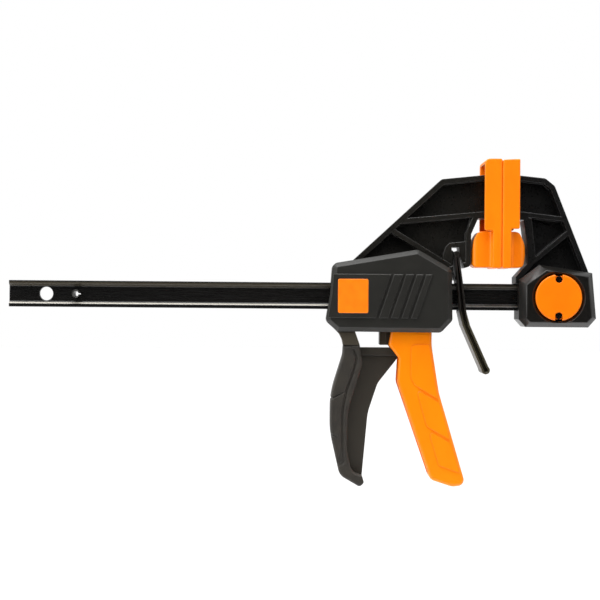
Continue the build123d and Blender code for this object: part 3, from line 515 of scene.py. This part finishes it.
# The core that hollows the rim stays this far inside the cover, whose own bevels lie at 45 degrees, and
# runs past both ends of them.
CORE_INSIDE = 0.1
CORE_ENDS = (BOX_BEVEL_FOOT - 1, BOX_FLAT + 0.4)
# How near an edge lies to a face that it belongs to, how like two normals of one face are, and the depth
# beyond which an edge is part of the flat face.
ON_FACE = 0.02 * MM
SAME_FACE = 0.999
FLAT_FROM = 15.9 * MM


def drawn_in(corners, steps):
    """The corners of an outline after each of its sides has moved inwards by its own step."""
    lines = []
    for a, b, step in zip(corners, corners[1:] + corners[:1], steps):
        along = (Vector(b) - Vector(a)).normalized()
        lines.append((Vector(a) + Vector((along.y, -along.x)) * step, along))
    meets = []
    for (p, u), (q, v) in zip(lines[-1:] + lines[:-1], lines):
        meets.append(p + u * ((q - p).cross(v) / u.cross(v)))
    return meets


def hull_of(*layers):
    """The closed convex form round layers of (x, z) points, each at its own depth."""
    form = bmesh.new()
    for points, depth in layers:
        for x, z in points:
            form.verts.new((x * MM, depth * MM, z * MM))
    bmesh.ops.convex_hull(form, input=form.verts)
    bmesh.ops.recalc_face_normals(form, faces=form.faces)
    return form


def turned(axis, rings, side):
    """A form turned about an axis that runs across the clamp, from rings of (depth, radius)."""
    form = bmesh.new()
    circles = []
    for depth, radius in rings:
        circle = []
        for i in range(RING_SIDES):
            a = math.tau * i / RING_SIDES
            x, z = axis[0] + radius * math.cos(a), axis[1] + radius * math.sin(a)
            circle.append(form.verts.new(Vector((x, side * depth, z)) * MM))
        circles.append(circle)
    for lower, upper in zip(circles, circles[1:]):
        for i in range(RING_SIDES):
            j = (i + 1) % RING_SIDES
            form.faces.new((lower[i], lower[j], upper[j], upper[i]))
    form.faces.new(circles[0])
    form.faces.new(circles[-1])
    bmesh.ops.recalc_face_normals(form, faces=form.faces)
    return draft_of(form)


def square_up(node, side, recesses):
    """A cover whose flat face reaches further out, on bevels that are narrower and steeper.

    Only a face without recesses has its outline rounded.
    """
    data = frame["nodes"][node].data.copy()
    flat = max(abs(v.co.y) for v in data.vertices) / MM
    rim = hull_of((BOX_OUTLINE, side * BOX_BEVEL_FOOT), (drawn_in(BOX_OUTLINE, BOX_BEVELS), side * flat))
    shell = [(face.normal.copy(), face.verts[0].co.copy()) for face in rim.faces]
    rim = draft_of(rim)
    core = []
    for depth in CORE_ENDS:
        inwards = depth - BOX_BEVEL_FOOT + CORE_INSIDE
        core.append((drawn_in(BOX_OUTLINE, [inwards] * len(BOX_OUTLINE)), side * depth))
    core = hull_of(*core)
    cutters = [draft_of(core), turned(LOCK_AXIS, WELL_RINGS, side)]
    cutters += [turned(axis, RECESS_RINGS, side) for axis in recesses]
    cover = bpy.data.objects.new("draft", data)
    scene.collection.objects.link(cover)
    for piece, tool, way in [(rim, cutter, "DIFFERENCE") for cutter in cutters] + [(cover, rim, "UNION")]:
        step = piece.modifiers.new("step", "BOOLEAN")
        step.operation = way
        step.solver = "EXACT"
        step.object = tool
    joined = cover.evaluated_get(bpy.context.evaluated_depsgraph_get())
    form = bmesh.new()
    form.from_mesh(bpy.data.meshes.new_from_object(joined))
    for piece in [rim, cover] + cutters:
        bpy.data.objects.remove(piece)
    clean(form, ON_FACE)
    hard = []
    for edge in [] if recesses else form.edges:
        middle = (edge.verts[0].co + edge.verts[1].co) / 2
        on = []
        for normal, spot in shell:
            near = abs((middle - spot).dot(normal)) < ON_FACE
            if near and all(normal.dot(other) < SAME_FACE for other in on):
                on.append(normal)
        if len(on) > 1 and min(abs(v.co.y) for v in edge.verts) > FLAT_FROM:
            hard.append(edge.index)
    return settle(round_off(form, hard, BOX_ROUNDING * MM), node)


dress(square_up("lock_box_near_cover", -1, []), box_abs)
dress(square_up("lock_box_far_cover", 1, SCREW_AXES), box_abs)

# Cross-head screws of carbon steel, cold headed, with a black oxide skin that shows dark metal.
oxide = finish(
    "black_oxide_steel",
    ("#1d1d1f", "#2a2a2c"),
    "#77767a",
    lump=0.8,
    grain=0.3,
    gloss=(0.25, 0.45),
    depth=0.005,
    round_over=0.25,
    Metallic=1.0,
)
dress(soften("lock_box_screws", 0.2 * MM), oxide)

# ---- Lock -----------------------------------------------------------------------------------------
# A round button of orange ABS and a black cap are held together through the hub by two screws, whose heads
# sit in notches. A spring holds the button out, and the cap's steel pin then stands in the bar's hole.

# Moulded ABS, dyed through: an even orange, half glossy, with a painted highlight as a lighter line round
# its rim.
button_abs = finish(
    "orange_button_abs",
    ("#fc7f00", "#fa7800"),
    "#ff9414",
    lump=14,
    grain=0.5,
    gloss=(0.3, 0.4),
    depth=0.008,
    round_over=0.4,
    IOR=1.54,
    Specular_IOR_Level=0.3,
)
dress(soften("lock_button", 0.25 * MM), button_abs)


def paint(node, material):
    """Gives a node that stays as it is its finish."""
    slots = frame["nodes"][node].data.materials
    for i in range(len(slots)):
        slots[i] = material


paint("lock_cap", nylon)
dress(soften("lock_tie_screws", 0.15 * MM), oxide)

# Ground and oiled silver steel: bright, with faint streaks along the pin.
ground = finish(
    "ground_silver_steel",
    ("#8f8e8c", "#aaa9a6"),
    "#c4c3c0",
    lump=3,
    grain=0.3,
    gloss=(0.18, 0.34),
    depth=0.003,
    round_over=0.2,
    stretch=(1, 12, 1),
    Metallic=1.0,
)
dress(soften("lock_pin", 0.25 * MM), ground)

TURN_STEPS = 26


def wind(node, foot, along, across, coil, wire, turns, length):
    """A compression spring of round wire, with a closed turn at each end."""
    third = along.cross(across)
    line = bpy.data.curves.new(node + "_wire", "CURVE")
    line.dimensions = "3D"
    line.bevel_depth = wire / 2
    line.bevel_resolution = 3
    line.use_fill_caps = True
    spline = line.splines.new("POLY")
    spline.points.add(TURN_STEPS * (turns + 2))
    rise = length - 3 * wire
    for i, point in enumerate(spline.points):
        turn = i / TURN_STEPS
        climb = wire / 2 + wire * (min(turn, 1) + max(turn - turns - 1, 0))
        climb += rise * min(max((turn - 1) / turns, 0), 1)
        a = math.tau * turn
        place = foot + along * climb + (across * math.cos(a) + third * math.sin(a)) * coil / 2
        point.co = (*place, 1)
    spline.use_smooth = True
    draft = bpy.data.objects.new("draft", line)
    scene.collection.objects.link(draft)
    return settle(draft, node)


X, Y = Vector((1, 0, 0)), Vector((0, 1, 0))
low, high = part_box("lock_spring")
middle = (low + high) / 2
foot = Vector((middle.x, high.y, middle.z))
wired = wind("lock_spring", foot, -Y, X, coil=9.6 * MM, wire=0.9 * MM, turns=3, length=high.y - low.y)
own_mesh(wired)
dress(wired, phosphate)

# ---- Moving jaw -----------------------------------------------------------------------------------
# The jaw, the frame of the mechanism and the handle's core are one moulding of the same nylon. A pin
# across the frame carries the trigger.

# The mould is polished for the jaw and etched dull for the neck and the handle's web. Over these the colour
# is painted paler and a little brown as painted light, the neck lighter than the web.
jaw_nylon = finish(
    "polished_and_etched_nylon",
    ("#12110e", "#1a1814"),
    "#35332e",
    lump=9,
    grain=0.7,
    gloss=(0.26, 0.4),
    depth=0.01,
    round_over=0.6,
    stretch=(1, 1, 2),
    IOR=1.53,
)
ETCHED_AND_LIT_BELOW = (-74, -76)
WEB_BELOW = (-82, -86)
tree = jaw_nylon.node_tree
height = place_in(tree)["Z"]
shares = []
for upper, lower in (ETCHED_AND_LIT_BELOW, WEB_BELOW):
    ends = {"Value": height, "From Min": upper * MM, "From Max": lower * MM}
    shares.append(out_of(add(tree, "ShaderNodeMapRange", links=ends)))
etched_and_lit, web = shares
# Painted light: the neck and web are tinted paler and browner than the jaw, with a rougher etched surface.
ends = {"Factor": web, "A": colour("#40392b"), "B": colour("#282218")}
painted_light_tint = out_of(add(tree, "ShaderNodeMix", {"data_type": "RGBA"}, ends))
paint_over(tree, etched_and_lit, Base_Color=painted_light_tint, Roughness=0.55)
paint("moving_jaw_frame", jaw_nylon)
dress(soften("trigger_pin", 0.25 * MM), ground)

# ---- Drive ----------------------------------------------------------------------------------------
# Two stamped plates of hardened steel stand round the bar, with a spring behind them. The trigger's nose
# pushes them along, they tilt, grip the bar and carry the jaw forward. Their feet hang below the covers.

# Hardened and tempered in oil: a warm, dull grey-brown with rolling streaks that run down the plate, and
# paler where stamping has left an edge.
tempered = finish(
    "hardened_black_steel",
    ("#3a3229", "#55493b"),
    "#8b8371",
    lump=3,
    grain=0.6,
    gloss=(0.32, 0.5),
    depth=0.008,
    stretch=(1, 1, 8),
    Metallic=0.6,
)
for node in ("drive_plate_rear", "drive_plate_front"):
    dress(soften(node, 0.3 * MM), tempered)
low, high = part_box("drive_spring")
foot = Vector((low.x, 0, (low.z + high.z) / 2))
wired = wind("drive_spring", foot, X, Y, coil=20.2 * MM, wire=1.4 * MM, turns=4, length=high.x - low.x)
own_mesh(wired)
dress(wired, phosphate)

# ---- Trigger --------------------------------------------------------------------------------------
# Moulded in orange ABS as a channel that is open towards the handle. Its sides carry three raised panels
# with slanted ends, and the front edges are well rounded for the fingers.

# The same ABS as the button's with a little more yellow, and painted shade as a deeper tint along its
# edges.
orange_abs = finish(
    "orange_moulded_abs",
    ("#ff8a00", "#ff8300"),
    "#d86200",
    lump=14,
    grain=0.5,
    gloss=(0.3, 0.4),
    depth=0.008,
    round_over=0.4,
    stretch=(1, 1, 2),
    IOR=1.54,
    Specular_IOR_Level=0.3,
)
paint("trigger", orange_abs)

# ---- Covers ---------------------------------------------------------------------------------------
# Two mirrored shells of charcoal ABS screwed together from the far side. The mould is spark eroded, which
# gives a fine dry grain, and the raised panel's crisp edges carry a pale painted highlight, broken into
# dashes.

# The real grain is a tenth of a millimetre, too fine to show here, so it is drawn four times as coarse.
cover_abs = finish(
    "spark_eroded_charcoal_abs",
    ("#161511", "#1c1b17"),
    "#86847c",
    lump=11,
    grain=0.4,
    gloss=(0.42, 0.54),
    depth=0.03,
    round_over=0.5,
    patchiness=0.4,
    IOR=1.54,
    Specular_IOR_Level=0.4,
)
for node in ("body_near_cover", "body_far_cover"):
    dress(soften(node, 0.3 * MM), cover_abs)
dress(soften("body_screws", 0.2 * MM), oxide)

# The badge is a plain piece of orange polycarbonate film, smooth and half glossy, bonded into its recess.
badge = finish(
    "orange_badge_film",
    ("#ff8408", "#fb7a04"),
    "#ff9018",
    lump=5,
    grain=0.8,
    gloss=(0.3, 0.4),
    depth=0.004,
    IOR=1.58,
)
dress(soften("badge_inlay", 0.3 * MM), badge)

# ---- Grip -----------------------------------------------------------------------------------------
# A skin of soft black rubber moulded over the handle's core, thick along the back, with a raised pad and
# notches on its sides. It has no gloss and picks up a little dust.

rubber = finish(
    "overmoulded_grip_rubber",
    ("#1f1b15", "#2a251d"),
    "#4a463c",
    lump=8,
    grain=0.5,
    gloss=(0.52, 0.66),
    depth=0.02,
    IOR=1.5,
    Sheen_Weight=0.05,
    Sheen_Roughness=0.4,
)


def groove(piece, line, width, depth):
    """Presses a hollow into both sides of a piece along a line of (x, z) points, in millimetres."""
    points = [Vector((x * MM, z * MM)) for x, z in line]
    for vertex in piece.data.vertices:
        spot = Vector((vertex.co.x, vertex.co.z))
        away = width
        for a, b in zip(points, points[1:]):
            share = (spot - a).dot(b - a) / (b - a).length_squared
            away = min(away, (a.lerp(b, min(max(share, 0), 1)) - spot).length / MM)
        if away < width / 2:
            vertex.co.y -= math.copysign(depth * MM * (1 - (2 * away / width) ** 2), vertex.co.y)


# A long groove frames the raised pad, and a notch runs in from the back.
PAD_FRAME = [
    (-91.9, -86.6),
    (-90.3, -91.2),
    (-90.6, -94.3),
    (-93.2, -103.1),
    (-96.5, -112.1),
    (-98.5, -122.1),
    (-98.8, -133.3),
    (-98.6, -147.7),
    (-97.9, -157.2),
    (-102.8, -159.4),
]
BACK_NOTCH = [(-107.5, -138.6), (-102.4, -141.0)]
skin = remould("grip", grain=0.25 * MM, passes=5, keep=0.4)
groove(skin, PAD_FRAME, width=2.0, depth=0.9)
groove(skin, BACK_NOTCH, width=1.4, depth=0.8)
dress(skin, rubber)

# ---- Release lever --------------------------------------------------------------------------------
# Cast with a rim round a pocket in each side and a round top that it tilts on, and lacquered black. A
# squeeze towards the handle frees the bar; a small spring in the covers pushes the lever back.

# Black lacquer on cast zinc: thin and half glossy, with a dull olive along the edges that is partly wear
# and partly painted highlight.
lacquer = finish(
    "black_lacquered_zinc",
    ("#120f0c", "#1a1613"),
    "#5c5546",
    lump=4,
    grain=0.6,
    gloss=(0.3, 0.45),
    depth=0.012,
    round_over=0.7,
    patchiness=0.5,
    IOR=1.5,
    Specular_IOR_Level=0.35,
)

# Painted reflection: the lever's lower half, below the bar, is tinted a paler olive brown.
LEVER_REFLECTION_BELOW = (-60, -70)
tree = lacquer.node_tree
height = place_in(tree)["Z"]
ends = {"Value": height, "From Min": LEVER_REFLECTION_BELOW[0] * MM, "From Max": LEVER_REFLECTION_BELOW[1] * MM, "To Max": 0.6}
paint_over(tree, out_of(add(tree, "ShaderNodeMapRange", links=ends)), Base_Color=colour("#4e4836"))
dress(soften("release_lever", 0.3 * MM), lacquer)
low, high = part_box("brake_spring")
foot = Vector((low.x, 0, (low.z + high.z) / 2))
wired = wind("brake_spring", foot, X, Y, coil=4.8 * MM, wire=0.8 * MM, turns=5, length=high.x - low.x)
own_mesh(wired)
dress(wired, phosphate)
